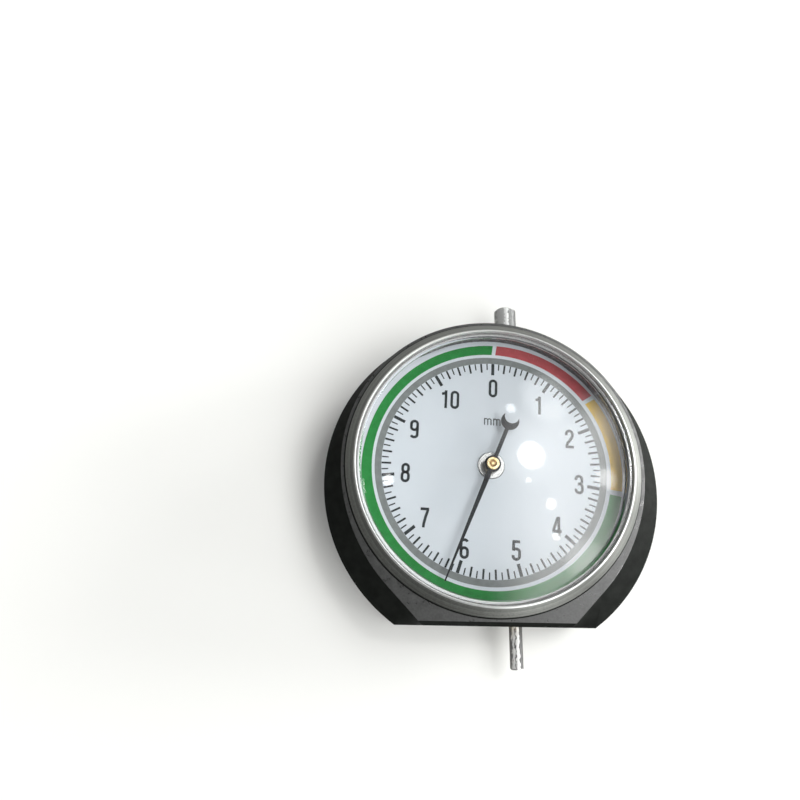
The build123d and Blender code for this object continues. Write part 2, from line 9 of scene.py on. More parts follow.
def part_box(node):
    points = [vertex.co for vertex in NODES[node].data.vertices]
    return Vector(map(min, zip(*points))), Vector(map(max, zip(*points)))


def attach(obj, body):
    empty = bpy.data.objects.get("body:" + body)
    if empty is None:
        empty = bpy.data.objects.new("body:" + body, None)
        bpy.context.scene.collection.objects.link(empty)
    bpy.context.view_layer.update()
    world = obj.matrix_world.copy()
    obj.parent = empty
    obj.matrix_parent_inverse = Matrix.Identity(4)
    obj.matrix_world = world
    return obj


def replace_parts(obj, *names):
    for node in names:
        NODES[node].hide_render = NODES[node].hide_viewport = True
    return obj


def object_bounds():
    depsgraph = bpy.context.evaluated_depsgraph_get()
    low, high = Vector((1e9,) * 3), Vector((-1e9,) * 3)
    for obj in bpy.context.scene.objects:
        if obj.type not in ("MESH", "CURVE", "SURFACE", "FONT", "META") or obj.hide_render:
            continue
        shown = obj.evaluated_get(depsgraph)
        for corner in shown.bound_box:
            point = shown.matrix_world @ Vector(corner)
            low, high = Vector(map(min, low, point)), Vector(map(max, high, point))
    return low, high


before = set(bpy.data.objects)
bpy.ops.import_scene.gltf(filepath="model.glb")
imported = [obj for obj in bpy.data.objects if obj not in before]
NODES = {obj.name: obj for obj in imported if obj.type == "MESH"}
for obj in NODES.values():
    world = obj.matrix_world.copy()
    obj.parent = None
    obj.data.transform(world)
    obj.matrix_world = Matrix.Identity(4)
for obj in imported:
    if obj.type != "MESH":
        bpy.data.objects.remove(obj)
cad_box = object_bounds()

MM = 0.001
TOUCHING = 1e-7                     # points nearer than this are one, in metres

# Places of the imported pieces, in metres
DIAL_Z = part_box("dial_plate")[1].z
LENS_LOW, LENS_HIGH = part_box("lens")
BEZEL_LOW, BEZEL_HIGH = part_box("bezel_ring")
HOUSING_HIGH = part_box("housing")[1]
TURNED_SIDES = 240                  # facets round the turned pieces
SHARP_ANGLE = 25                    # degrees between facets that aren't shaded as one
DOME_POINTS = 24

# Window and bezel, in millimetres
DOME_EDGE = 20.85                   # radius where the dome meets its flange
DOME_RISE = 2.8                     # over its flange
DOME_SHOULDER = 0.25                # upright edge at the dome's foot
DOME_WALL = 1.1
HOLLOW_RADIUS = 20.45
BEZEL_BORE = 21.75
BEZEL_LIP = 21.35
BEZEL_RIM = 21.65                   # rim's outer edge, where the slope starts
BEZEL_SKIRT = 22.4
LIP_THICKNESS = 0.5
FOOT_HEIGHT = 0.35
EDGE_ROUND = 0.12
FOOT_ROUND = 0.15
PAINTED_GAP_SHADE = 0.18                         # width of a ring of painted shade on the case round the bezel
PAINTED_FOOT_SHADE_HEIGHTS = (0.25, 0.45)         # over the front face: painted shade on the bezel's foot is darkest up to the first height, gone by the second
FACE_MARGIN = 0.03                  # the front face's finish starts this far under it
RIM_MARGIN = 0.06                   # and the rim's reaches this far past its edge
FROST_INSIDE = (0.12, 0.04)         # inside the dome's edge: the window is clear, then half frosted
FROST_OUTSIDE = (0.05, 0.15)        # outside it: half frosted, then a quarter
STRAW_HEIGHT = 1.0                  # over the dial, where the arbor's end changes colour
SAG = DOME_RISE - DOME_SHOULDER
SPHERE = (DOME_EDGE ** 2 + SAG ** 2) / (2 * SAG)

# Print on the dial, in millimetres from its centre and degrees clockwise from 0
DIAL_TURN = math.radians(2.3)
PRINT_SCALE = 0.992                 # the sizes below are as seen, a little enlarged by the window
PRINT_SHIFT = Vector((0.0, -0.16))  # the print sits a little low
DIVISIONS = 110
TICK_OUTER = 17.42
TICKS = ((10, 15.45, 0.5), (2, 15.9, 0.31), (1, 16.35, 0.2))    # every so many, inner radius, width
GREY_RING = (17.45, 18.5)
COLOUR_RING = (19.05, 20.68)
COLOUR_SHIFTS = (0.1, 0.3)          # to the right, of its inner and outer edge
ZONES = {"red": (0.8, 51.0), "yellow": (53.0, 97.5), "green": (99.8, 359.0)}
NUMERAL_HEIGHT = 3.05
NUMERAL_STROKE = 0.14               # share of the height
NUMERAL_PLACES = (                  # radius and angle of each numeral's middle
    (13.16, 0.4), (13.16, 35.3), (13.72, 66.8), (14.13, 98.0), (13.61, 130.2), (13.46, 162.5),
    (13.61, 196.8), (13.45, 229.6), (13.69, 262.2), (13.6, 293.1), (12.8, 327.0),
)
TENS_SHIFT = 0.27                   # of the two figures of 10, share of the height
UNIT_PLACE = (0.06, 7.7)
UNIT_HEIGHT = 1.75
UNIT_STROKE = 0.1
UNIT_SPACING = 0.42                 # half the distance between the letters, share of the height
INK = 0.015                         # thickness of the print
ARC_STEP = 1.5                      # degrees between the points of a printed arc
BOW_STEP = 15                       # and of a figure's bow
SAME_POINT = 1e-6                   # points of a line nearer than this are one
MITRE_LIMIT = 0.6                   # a stroke's corner is no sharper than this cosine

# Camera, in millimetres from the dial's axis on the back face
CAMERA_PLACE = Vector((-18.53, -23.88, 113.05))
CAMERA_AIM = Vector((-14.61, 10.58, 8.3))
CAMERA_ROLL = math.radians(-1.03)
CAMERA_LENS = 30.51
SENSOR = 36.0
CLIPPING = (0.005, 20.0)            # metres

# Painted highlights and shade of the rods: share of right that the surface faces, and level
STEM_PAINTED_LIGHT = ((-0.98, 0.5), (-0.8, 0.95), (-0.3, 0.85), (-0.2, 1.45), (0.08, 1.35), (0.2, 0.36), (0.6, 0.22),
              (0.95, 0.07))
PIN_PAINTED_LIGHT = ((-0.9, 0.22), (-0.76, 0.35), (-0.66, 1.0), (-0.4, 1.0), (-0.33, 0.12), (-0.24, 0.12),
             (-0.16, 0.9), (0.24, 0.85), (0.36, 0.14), (0.8, 0.08))
END_SHARE = -0.8                    # the rods' ends take the painted light of this share
BROKEN = 0.16                       # each painted band's edges wander by this share

# Light: a low general level, a pale band of sky on the right, low lamps there, and soft round lamps
GENERAL = 0.19
SIDE = ((0.1, 0.46), (0.6, 0.78), 3.5)      # rises and falls between these shares of right; level
SIDE_TOP = (0.55, 0.35)             # fades out and is full at these shares of up the dial
LOW_RIGHT = (                       # direction, inner and outer radius in degrees, level
    (Vector((0.97, 0.2, 0.12)), 3.0, 13.0, 44.0),
    (Vector((0.84, 0.52, 0.12)), 3.0, 12.0, 24.0),
    (Vector((0.94, -0.33, 0.12)), 3.0, 11.0, 14.0),
)
LAMPS = (                           # place where each shows in the window, then as above
    ((5.1, 0.4), 0.5, 4.3, 23.0),
    ((5.1, 0.4), 2.0, 9.5, 0.8),
    ((16.8, -2.5), 0.5, 3.6, 4.5),
    ((12.6, -14.5), 1.0, 7.0, 2.3),
    ((8.0, 10.0), 1.5, 8.5, 2.6),
    ((2.3, 7.8), 0.3, 1.8, 5.0),
    ((7.8, -6.8), 0.3, 1.7, 9.0),
    ((4.6, -3.4), 0.2, 0.9, 9.0),
    ((-16.4, -3.6), 0.4, 2.0, 9.0),
    ((8.5, -11.5), 0.2, 1.2, 9.0),
)
FLOOR_COLOUR = (0.87, 0.875, 0.845)
FLOOR_SIZE = 3.0                    # half its side, in metres
FLOOR_GAP = 0.01                    # under the object, in millimetres
BACKDROP = 1.0                      # sky where it is only a background
FLOOR_PAPER = 0.09                  # white added where the floor is only a background


class Look:
    """A node material being wired: its shader, and short ways to add and link nodes."""

    def __init__(self, name, colour, roughness, metallic=0.0):
        self.material = bpy.data.materials.new(name)
        self.material.use_nodes = True
        self.tree = self.material.node_tree
        self.shader = self.tree.nodes["Principled BSDF"]
        self.set(self.shader, {"Base Color": (*colour, 1), "Roughness": roughness, "Metallic": metallic})
        self.place = self.add("ShaderNodeTexCoord").outputs["Object"]

    def set(self, node, values):
        for socket, value in values.items():
            if isinstance(value, bpy.types.NodeSocket):
                self.tree.links.new(value, node.inputs[socket])
            else:
                node.inputs[socket].default_value = value
        return node

    def add(self, kind, values=None, **settings):
        node = self.tree.nodes.new(kind)
        for name, value in settings.items():
            setattr(node, name, value)
        return self.set(node, values or {})

    def noise(self, size, detail=2.0, stretch=(1, 1, 1)):
        """Noise with features of a size in millimetres, stretched along the axes."""
        scale = tuple(1 / (size * MM * s) for s in stretch)
        spread = self.add("ShaderNodeVectorMath", {0: self.place, 1: scale}, operation="MULTIPLY")
        noise = self.add("ShaderNodeTexNoise", {"Vector": spread.outputs[0], "Scale": 1.0, "Detail": detail})
        return noise.outputs[0]

    def radius(self):
        """Distance from the dial's axis, in millimetres."""
        flat = self.add("ShaderNodeVectorMath", {0: self.place, 1: (1 / MM, 1 / MM, 0)}, operation="MULTIPLY")
        return self.add("ShaderNodeVectorMath", {0: flat.outputs[0]}, operation="LENGTH").outputs["Value"]

    def rings(self, pitch):
        """Turning marks about the dial's axis, of a pitch in millimetres."""
        scaled = self.add("ShaderNodeMath", {0: self.radius(), 1: 1 / pitch}, operation="MULTIPLY")
        return self.add("ShaderNodeTexNoise", {"W": scaled.outputs[0], "Scale": 1.0, "Detail": 3.0},
                        noise_dimensions="1D").outputs[0]

    def span(self, value, low, high, from_low=0.3, from_high=0.7):
        """A value spread over a range. The limits that it comes from suit a noise."""
        return self.add("ShaderNodeMapRange", {"Value": value, "From Min": from_low, "From Max": from_high,
                                               "To Min": low, "To Max": high}).outputs[0]

    def blend(self, factor, first, second, from_low=0.3, from_high=0.7):
        """Colour between two, by a factor spread over its useful range."""
        mix = self.add("ShaderNodeMix", data_type="RGBA")
        self.tree.links.new(self.span(factor, 0, 1, from_low, from_high), mix.inputs["Factor"])
        colours = [socket for socket in mix.inputs if socket.type == "RGBA"]
        for socket, colour in zip(colours, (first, second)):
            socket.default_value = (*colour, 1)
        return next(socket for socket in mix.outputs if socket.type == "RGBA")

    def colour(self, value):
        self.set(self.shader, {"Base Color": value})

    def roughness(self, value):
        self.set(self.shader, {"Roughness": value})

    def relief(self, height, depth, strength=1.0):
        """Normal of a relief of a depth in millimetres."""
        bump = self.add("ShaderNodeBump", {"Height": height, "Distance": depth * MM, "Strength": strength})
        return bump.outputs[0]

    def bump(self, height, depth, strength=1.0):
        self.set(self.shader, {"Normal": self.relief(height, depth, strength)})

    def height(self):
        """Height over the back, in millimetres."""
        split = self.add("ShaderNodeSeparateXYZ", {0: self.place})
        return self.add("ShaderNodeMath", {0: split.outputs["Z"], 1: 1 / MM}, operation="MULTIPLY").outputs[0]

    def step(self, value, limit, falling=False):
        """1 on one side of a limit and 0 on the other."""
        kind = "LESS_THAN" if falling else "GREATER_THAN"
        return self.add("ShaderNodeMath", {0: value, 1: limit}, operation=kind).outputs[0]

    def above(self, limit):
        return self.step(self.height(), limit)

    def second_shader(self, colour, roughness, values):
        shader = self.add("ShaderNodeBsdfPrincipled", {"Base Color": (*colour, 1), "Roughness": roughness})
        return self.set(shader, values)

    def join(self, factor, other):
        """Shows the first shader where the factor is 1 and the other where it is 0."""
        mix = self.add("ShaderNodeMixShader", {"Fac": factor})
        self.tree.links.new(other.outputs[0], mix.inputs[1])
        self.tree.links.new(self.shader.outputs[0], mix.inputs[2])
        self.tree.links.new(mix.outputs[0], self.tree.nodes["Material Output"].inputs["Surface"])


def moulded_plastic():
    """Black moulding: grained satin front face, smooth darker sides, and painted shade on a ring of the front
    face round the bezel.
    """
    look = Look("moulded_plastic", (0.03, 0.032, 0.03), 0.42)
    look.colour(look.blend(look.noise(0.3, 5), (0.004, 0.005, 0.004), (0.019, 0.021, 0.019), 0.35, 0.65))
    look.roughness(look.span(look.noise(0.7, 5), 0.25, 0.42))
    look.set(look.shader, {"Specular IOR Level": 1.0})
    look.bump(look.noise(0.2, 3), 0.01, 0.25)
    sides_and_gap_shade = look.second_shader((0.009, 0.0095, 0.009), 0.5, {"Specular IOR Level": 0.03})
    mottled = look.blend(look.noise(1.5, 3), (0.008, 0.009, 0.008), (0.013, 0.0145, 0.013))
    look.set(sides_and_gap_shade, {"Base Color": mottled, "Roughness": look.span(look.noise(0.8, 2), 0.5, 0.62)})
    level = look.above(HOUSING_HIGH.z / MM - FACE_MARGIN)
    # painted shade: a ring of the front face round the bezel takes the dark finish of the sides
    outside = look.step(look.radius(), BEZEL_HIGH.x / MM + PAINTED_GAP_SHADE)
    look.join(look.add("ShaderNodeMath", {0: level, 1: outside}, operation="MULTIPLY").outputs[0], sides_and_gap_shade)
    return look.material


def bezel_metal():
    """Turned metal: pale satin rim, darker grained slope, and painted shade at its foot next to the case."""
    look = Look("bezel_metal", (0.62, 0.63, 0.62), 0.35, 0.9)
    look.roughness(look.span(look.rings(0.12), 0.26, 0.42))
    look.bump(look.rings(0.07), 0.005, 0.5)
    dark = (0.155, 0.16, 0.15)
    slope = look.second_shader(dark, 0.4, {"Metallic": 0.9})
    grain = look.noise(0.28, 5)
    lines = look.span(look.rings(0.16), -0.3, 0.3)
    worn = look.add("ShaderNodeMath", {0: look.span(grain, 0.88, 1.12, 0.35, 0.65), 1: lines}).outputs[0]
    # painted shade: the slope darkens towards the bezel's foot, next to the case
    painted_foot_shade = look.span(look.height(), 0.08, 1.0, *(HOUSING_HIGH.z / MM + height for height in PAINTED_FOOT_SHADE_HEIGHTS))
    shade = look.add("ShaderNodeMath", {0: worn, 1: painted_foot_shade}, operation="MULTIPLY").outputs[0]
    tone_with_painted_light = look.add("ShaderNodeVectorMath", {0: dark, 1: shade}, operation="MULTIPLY").outputs[0]
    look.set(slope, {"Base Color": tone_with_painted_light, "Roughness": look.span(grain, 0.34, 0.48),
                     "Normal": look.relief(look.noise(0.22, 3), 0.012, 0.5)})
    look.join(look.step(look.radius(), BEZEL_RIM + RIM_MARGIN, falling=True), slope)
    return look.material


def spacer_metal():
    """Dull polished metal, dark between the dial and the window."""
    look = Look("spacer_metal", (0.11, 0.095, 0.09), 0.2, 1.0)
    look.roughness(look.span(look.noise(0.8, 2), 0.18, 0.3))
    look.bump(look.noise(2.5, 1), 0.006, 0.3)
    return look.material


def rod_metal(name, colour, roughness, metallic, marks, painted_light_levels):
    """Bright rod along Y, its colour painted with highlights and shade by the way the surface faces: pairs of
    a share of right faced and a level, broken at the edges.
    """
    look = Look(name, colour, roughness, metallic)
    look.set(look.shader, {"Specular IOR Level": 0.2})
    facing = look.add("ShaderNodeSeparateXYZ", {0: look.add("ShaderNodeTexCoord").outputs["Normal"]}).outputs
    end = look.add("ShaderNodeMath", {0: facing["Y"]}, operation="ABSOLUTE").outputs[0]
    sideways = look.add("ShaderNodeMath", {0: end, 1: END_SHARE, 2: facing["X"]}, operation="MULTIPLY_ADD")
    broken = look.span(look.noise(marks, 4, (1, 1.6, 1)), -BROKEN, BROKEN)
    across = look.add("ShaderNodeMath", {0: sideways.outputs[0], 1: broken}).outputs[0]
    # painted highlights and shade: the colour follows the way the surface faces
    painted_bands = look.add("ShaderNodeValToRGB", {0: look.span(across, 0, 1, -1, 1)})
    ramp = painted_bands.color_ramp
    while len(ramp.elements) < len(painted_light_levels):
        ramp.elements.new(0.5)
    for element, (share, level) in zip(ramp.elements, painted_light_levels):
        element.position = (share + 1) / 2
        element.color = (*(c * level for c in colour), 1)
    look.colour(painted_bands.outputs[0])
    look.roughness(look.span(look.noise(marks / 2, 3, (1, 3, 1)), roughness * 0.8, roughness * 1.25))
    look.bump(look.noise(marks, 4, (1, 2, 1)), 0.02, 0.4)
    return look.material


def steel():
    """Ground steel of the inner works."""
    look = Look("steel", (0.56, 0.57, 0.58), 0.3, 1.0)
    look.roughness(look.span(look.noise(0.4, 3), 0.22, 0.42))
    look.bump(look.noise(0.2, 2), 0.006, 0.4)
    return look.material


def dark_steel():
    """Blackened steel of the screws in the back."""
    look = Look("dark_steel", (0.07, 0.07, 0.072), 0.35, 1.0)
    look.roughness(look.span(look.noise(0.3, 3), 0.28, 0.5))
    look.bump(look.noise(0.15, 2), 0.006, 0.4)
    return look.material


def arbor_steel():
    """Polished steel, straw-coloured at the end that shows in the eyelet, with a painted highlight at the
    middle of that end and painted shade round it.
    """
    look = Look("arbor_steel", (0.6, 0.56, 0.5), 0.25, 1.0)
    straw = look.second_shader((0.4, 0.25, 0.09), 0.3, {"Metallic": 0.7})
    # the end's straw colour, with a painted highlight pale at its middle and painted shade darkening it
    # further out
    tone_with_painted_light = look.blend(look.radius(), (0.95, 0.76, 0.42), (0.3, 0.18, 0.07), 0.1, 0.3)
    look.set(straw, {"Base Color": tone_with_painted_light, "Roughness": look.span(look.rings(0.05), 0.2, 0.36)})
    look.roughness(look.span(look.noise(0.3, 2), 0.2, 0.34))
    look.join(look.step(look.height(), DIAL_Z / MM + STRAW_HEIGHT, falling=True), straw)
    return look.material


def brass():
    """Turned brass, uneven in tone."""
    look = Look("brass", (0.9, 0.72, 0.4), 0.26, 0.85)
    look.colour(look.blend(look.noise(0.6, 3), (0.84, 0.64, 0.33), (0.97, 0.82, 0.52)))
    look.roughness(look.span(look.rings(0.05), 0.2, 0.38))
    look.bump(look.rings(0.08), 0.004, 0.5)
    return look.material


def nickel():
    """Plated metal with turning marks."""
    look = Look("nickel", (0.62, 0.63, 0.62), 0.28, 0.85)
    look.roughness(look.span(look.rings(0.06), 0.22, 0.38))
    look.bump(look.rings(0.1), 0.004, 0.5)
    return look.material


def dial_enamel():
    """Pale satin paint of the dial."""
    look = Look("dial_enamel", (0.645, 0.705, 0.75), 0.5)
    look.colour(look.blend(look.noise(6.0, 2), (0.63, 0.692, 0.738), (0.66, 0.718, 0.762)))
    look.roughness(look.span(look.noise(0.6, 3), 0.45, 0.55))
    look.set(look.shader, {"Specular IOR Level": 0.3})
    look.bump(look.noise(0.4, 2), 0.004, 0.3)
    return look.material


def needle_black():
    """Matt black paint of the needle."""
    look = Look("needle_black", (0.014, 0.016, 0.018), 0.5)
    look.colour(look.blend(look.noise(0.7, 3), (0.01, 0.011, 0.013), (0.02, 0.022, 0.025)))
    look.set(look.shader, {"Specular IOR Level": 0.2})
    look.bump(look.noise(0.15, 2), 0.004, 0.4)
    return look.material


def ink(name, colour):
    """Printed colour, a little uneven as screen print is."""
    look = Look("ink_" + name, colour, 0.6)
    thin = tuple(min(1, c * 1.1 + 0.003) for c in colour)
    dense = tuple(c * 0.9 for c in colour)
    look.colour(look.blend(look.noise(0.9, 3), dense, thin))
    look.roughness(look.span(look.noise(0.5, 2), 0.55, 0.65))
    look.set(look.shader, {"Specular IOR Level": 0.2})
    return look.material


def window_plastic():
    """Clear acrylic, faintly wavy. Shadow and diffuse rays pass it, so that the dial is lit through it."""
    look = Look("window_plastic", (1.0, 1.0, 1.0), 0.0)
    look.set(look.shader, {"Transmission Weight": 1.0, "IOR": 1.49})
    rays = look.add("ShaderNodeLightPath").outputs
    passing = look.add("ShaderNodeMath", {0: rays["Is Shadow Ray"], 1: rays["Is Diffuse Ray"]},
                       operation="MAXIMUM")
    solid = look.add("ShaderNodeMath", {0: 1.0, 1: passing.outputs[0]}, operation="SUBTRACT")
    look.set(look.shader, {"Alpha": solid.outputs[0]})
    waves = look.add("ShaderNodeMath", {0: look.noise(0.9, 3), 1: 0.25, 2: look.noise(5.0, 2)},
                     operation="MULTIPLY_ADD")
    look.bump(waves.outputs[0], 0.03, 0.35)
    frosted = look.second_shader((0.86, 0.87, 0.86), 0.4, {"Alpha": solid.outputs[0]})
    look.set(frosted, {"Normal": look.relief(look.noise(0.3, 3), 0.02, 0.5)})
    inside = look.span(look.radius(), 1.0, 0.5, *(DOME_EDGE - distance for distance in FROST_INSIDE))
    outside = look.span(look.radius(), 0.0, 0.25, *(DOME_EDGE + distance for distance in FROST_OUTSIDE))
    look.join(look.add("ShaderNodeMath", {0: inside, 1: outside}).outputs[0], frosted)
    return look.material


def dress(material, *names):
    """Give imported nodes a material."""
    for name in names:
        mesh = NODES[name].data
        mesh.materials.clear()
        mesh.materials.append(material)


def piece(name, mesh, material, body="case"):
    """New object from a mesh, riding on a body."""
    thing = bpy.data.objects.new(name, mesh)
    bpy.context.scene.collection.objects.link(thing)
    mesh.materials.clear()
    mesh.materials.append(material)
    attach(thing, body)
    return thing


def finished(bm, name):
    """Mesh of a closed shape, with its faces turned outwards."""
    bmesh.ops.remove_doubles(bm, verts=bm.verts, dist=TOUCHING)
    bmesh.ops.recalc_face_normals(bm, faces=bm.faces)
    mesh = bpy.data.meshes.new(name)
    bm.to_mesh(mesh)
    bm.free()
    return mesh


def turned(name, profile):
    """Solid of revolution about the dial's axis, from a loop of radii and heights in metres."""
    bm = bmesh.new()
    rings = []
    for radius, z in profile:
        count = TURNED_SIDES if radius > 0 else 1
        angles = [2 * math.pi * i / count for i in range(count)]
        rings.append([bm.verts.new((radius * math.cos(a), radius * math.sin(a), z)) for a in angles])
    for first, second in zip(rings, rings[1:] + rings[:1]):
        if len(first) == len(second) == 1:
            continue
        for i in range(TURNED_SIDES):
            j = (i + 1) % TURNED_SIDES
            corners = [ring[k % len(ring)] for ring, k in ((first, i), (first, j), (second, j), (second, i))]
            bm.faces.new(list(dict.fromkeys(corners)))
    mesh = finished(bm, name)
    mesh.shade_smooth()
    mesh.set_sharp_from_angle(angle=math.radians(SHARP_ANGLE))
    return mesh


def dome_points(radius, edge, top):
    """Profile of a dome, from its edge up to its top."""
    points = []
    for i in range(DOME_POINTS, 0, -1):
        r = edge * i / DOME_POINTS
        points.append((r * MM, top - (radius - math.sqrt(radius ** 2 - r ** 2)) * MM))
    return points + [(0.0, top)]


def add_window(material):
    """Domed window over its flange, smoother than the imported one."""
    top = LENS_HIGH.z
    flange = top - DOME_RISE * MM
    side = LENS_HIGH.x
    edge = DOME_EDGE * MM
    outer = dome_points(SPHERE, DOME_EDGE, top)
    inner = dome_points(SPHERE - DOME_WALL, HOLLOW_RADIUS, top - DOME_WALL * MM)
    rim = [(HOLLOW_RADIUS * MM, LENS_LOW.z), (side, LENS_LOW.z), (side, flange), (edge, flange)]
    shoulder = rounded(outer[0], (edge, flange), outer[1], EDGE_ROUND * MM)
    mesh = turned("window", list(reversed(inner)) + rim + shoulder + outer[1:])
    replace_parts(piece("window", mesh, material), "lens")


def rounded(corner, before, after, size):
    """Small round at a profile's corner, as three points."""
    corner, before, after = Vector(corner), Vector(before), Vector(after)
    start = corner + (before - corner).normalized() * size
    end = corner + (after - corner).normalized() * size
    return [tuple(start), tuple((start + end) / 4 + corner / 2), tuple(end)]


def add_bezel(material):
    """Bezel with its rim and foot rounded."""
    side = BEZEL_HIGH.x / MM
    low, high = BEZEL_LOW.z / MM, BEZEL_HIGH.z / MM
    face = HOUSING_HIGH.z / MM
    lip = (BEZEL_LIP, high)
    rim = (BEZEL_RIM, high - EDGE_ROUND)
    foot = (side, face)
    shoulder = (side, face + FOOT_HEIGHT)
    slope = (side - FOOT_ROUND, face + FOOT_HEIGHT + FOOT_ROUND)
    under = (BEZEL_LIP, high - LIP_THICKNESS)
    profile = [(BEZEL_BORE, low), (BEZEL_SKIRT, low), (BEZEL_SKIRT, face)]
    profile += rounded(foot, (BEZEL_SKIRT, face), shoulder, FOOT_ROUND)
    profile += [shoulder, slope, rim]
    profile += rounded((BEZEL_RIM - EDGE_ROUND, high), rim, lip, EDGE_ROUND / 2)[1:]
    profile += rounded(lip, (BEZEL_RIM, high), under, EDGE_ROUND)
    profile += [under, (BEZEL_BORE, high - LIP_THICKNESS)]
    mesh = turned("bezel", [(r * MM, z * MM) for r, z in profile])
    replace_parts(piece("bezel", mesh, material), "bezel_ring")


def on_dial(x, y, lift=0.0):
    """Point of the dial's face from the print's millimetres, turned with the dial."""
    turn = Matrix.Rotation(-DIAL_TURN, 2)
    place = turn @ Vector((x, y)) * PRINT_SCALE + PRINT_SHIFT
    return Vector((place.x * MM, place.y * MM, DIAL_Z + lift * MM))


def clockwise(radius, angle):
    """Dial millimetres at a radius and an angle in degrees, clockwise from 0."""
    return Vector((radius * math.sin(math.radians(angle)), radius * math.cos(math.radians(angle))))


def raise_strip(bm, left, right, closed=False):
    """Closed strip of print between two rows of points, either open with two ends or a ring."""
    low_left, high_left, low_right, high_right = (
        [bm.verts.new(on_dial(p[0], p[1], lift)) for p in points]
        for points in (left, right) for lift in (0.0, INK)
    )
    count = len(left)
    for i in range(count if closed else count - 1):
        j = (i + 1) % count
        bm.faces.new((high_left[i], high_right[i], high_right[j], high_left[j]))
        bm.faces.new((low_left[i], low_left[j], low_right[j], low_right[i]))
        bm.faces.new((low_left[i], high_left[i], high_left[j], low_left[j]))
        bm.faces.new((low_right[i], low_right[j], high_right[j], high_right[i]))
    if not closed:
        for i in (0, -1):
            bm.faces.new((low_left[i], low_right[i], high_right[i], high_left[i]))


def arc_band(name, radii, start, end, material, shifts=(0, 0)):
    """Printed band between two radii, which may be shifted to the right, and two angles."""
    closed = end - start == 360
    count = round((end - start) / ARC_STEP)
    angles = [start + (end - start) * i / count for i in range(count if closed else count + 1)]
    bm = bmesh.new()
    edges = [[clockwise(r, a) + Vector((shift, 0)) for a in angles] for r, shift in zip(radii, shifts)]
    raise_strip(bm, *edges, closed)
    return piece(name, finished(bm, name), material)


def ticks(material):
    """Division marks, the longest at each whole number."""
    bm = bmesh.new()
    for division in range(DIVISIONS):
        every, inner, width = next(t for t in TICKS if division % t[0] == 0)
        turn = Matrix.Rotation(-math.radians(360 * division / DIVISIONS), 2)
        sides_and_gap_shade = [[turn @ Vector((side * width / 2, r)) for r in (inner, TICK_OUTER)] for side in (-1, 1)]
        raise_strip(bm, *sides_and_gap_shade)
    return piece("scale_ticks", finished(bm, "scale_ticks"), material)


def bow(x, y, across, up, start, end):
    """Stretch of an upright oval, between two angles anticlockwise from the right."""
    count = max(2, round(abs(end - start) / BOW_STEP))
    angles = [math.radians(start + (end - start) * i / count) for i in range(count + 1)]
    return [(x + across * math.cos(a), y + up * math.sin(a)) for a in angles]


def upside_down(strokes):
    """Strokes of a figure turned half a turn."""
    return [([(-x, 1 - y) for x, y in points], closed) for points, closed in strokes]


def glyphs():
    """Centre lines of the condensed figures and of the letter m, for a height of 1; True marks a ring."""
    side, low, high = 0.165, 0.0625, 0.9375
    bowl = 0.225
    foot = bow(0, bowl, side, bowl - low, 180, 360)
    hook = bow(0, bowl, side, bowl - low, 0, -195)
    six = [
        (bow(0, 0.8, side, high - 0.8, 20, 180) + [(-side, 0.3)], False),
        (bow(0, 0.38, side, 0.16, 0, 180) + foot, True),
    ]
    return {
        "0": [(bow(0, 0.775, side, high - 0.775, 0, 180) + foot, True)],
        "1": [([(0.06, 0), (0.06, 1)], False), ([(0.01, 0.86), (-0.07, 0.81), (-0.16, 0.795)], False)],
        "2": [
            (bow(0, 0.755, side, high - 0.755, 200, 0)
             + [(0.15, 0.63), (0.06, 0.47), (-0.1, 0.26), (-0.15, 0.125)], False),
            ([(-0.21, low), (0.225, low)], False),
        ],
        "3": [
            (bow(0, 0.775, 0.155, high - 0.775, 195, 0)
             + bow(0, 0.67, 0.155, 0.14, 0, -90) + [(-0.06, 0.53)], False),
            ([(-0.06, 0.53)] + bow(0, 0.37, side, 0.16, 90, 0) + hook, False),
        ],
        "4": [
            ([(0.09, 0), (0.09, 1)], False),
            ([(0.04, 0.96), (-0.19, 0.3)], False),
            ([(-0.245, 0.25), (0.225, 0.25)], False),
        ],
        "5": [
            ([(0.19, high), (-0.175, high)], False),
            ([(-0.13, 0.98), (-0.15, 0.49)], False),
            (bow(-0.01, 0.44, 0.175, 0.14, 150, 0) + hook, False),
        ],
        "6": six,
        "7": [
            ([(-0.215, high), (0.225, high)], False),
            ([(0.17, 0.9), (0.06, 0.55), (-0.02, 0.2), (-0.04, 0)], False),
        ],
        "8": [
            (bow(0, 0.79, 0.15, high - 0.79, 0, 180) + bow(0, 0.68, 0.15, 0.15, 180, 360), True),
            (bow(0, 0.37, side, 0.16, 0, 180) + foot, True),
        ],
        "9": upside_down(six),
        "m": [
            ([(-0.3, 0), (-0.3, 0.66)], False),
            (bow(-0.15, 0.47, 0.15, 0.14, 160, 0) + [(0, 0)], False),
            (bow(0.15, 0.47, 0.15, 0.14, 160, 0) + [(0.3, 0)], False),
        ],
    }


def draw_stroke(bm, points, width, closed):
    """Strip of a width along a line of dial millimetres."""
    count = len(points)
    if closed:
        points = [p for i, p in enumerate(points) if (p - points[i - 1]).length > SAME_POINT]
        count = len(points)
    left, right = [], []
    for i, point in enumerate(points):
        before = points[i - 1] if closed or i > 0 else point
        after = points[(i + 1) % count] if closed or i < count - 1 else point
        steps = [step for step in (point - before, after - point) if step.length > SAME_POINT]
        ways = [step.normalized() for step in steps]
        way = sum(ways, Vector((0, 0))).normalized()
        reach = width / 2 / max(MITRE_LIMIT, way.dot(ways[0]))
        across = Vector((-way.y, way.x)) * reach
        left.append(point + across)
        right.append(point - across)
    raise_strip(bm, left, right, closed)


def figure(name, text, place, height, stroke, spacing, material):
    """Printed characters about a place, upright on the dial."""
    shapes = glyphs()
    bm = bmesh.new()
    for i, character in enumerate(text):
        shift = (2 * i - len(text) + 1) * spacing
        for points, closed in shapes[character]:
            line = [Vector((place.x + (x + shift) * height, place.y + (y - 0.5) * height)) for x, y in points]
            draw_stroke(bm, line, stroke * height, closed)
    return piece(name, finished(bm, name), material)


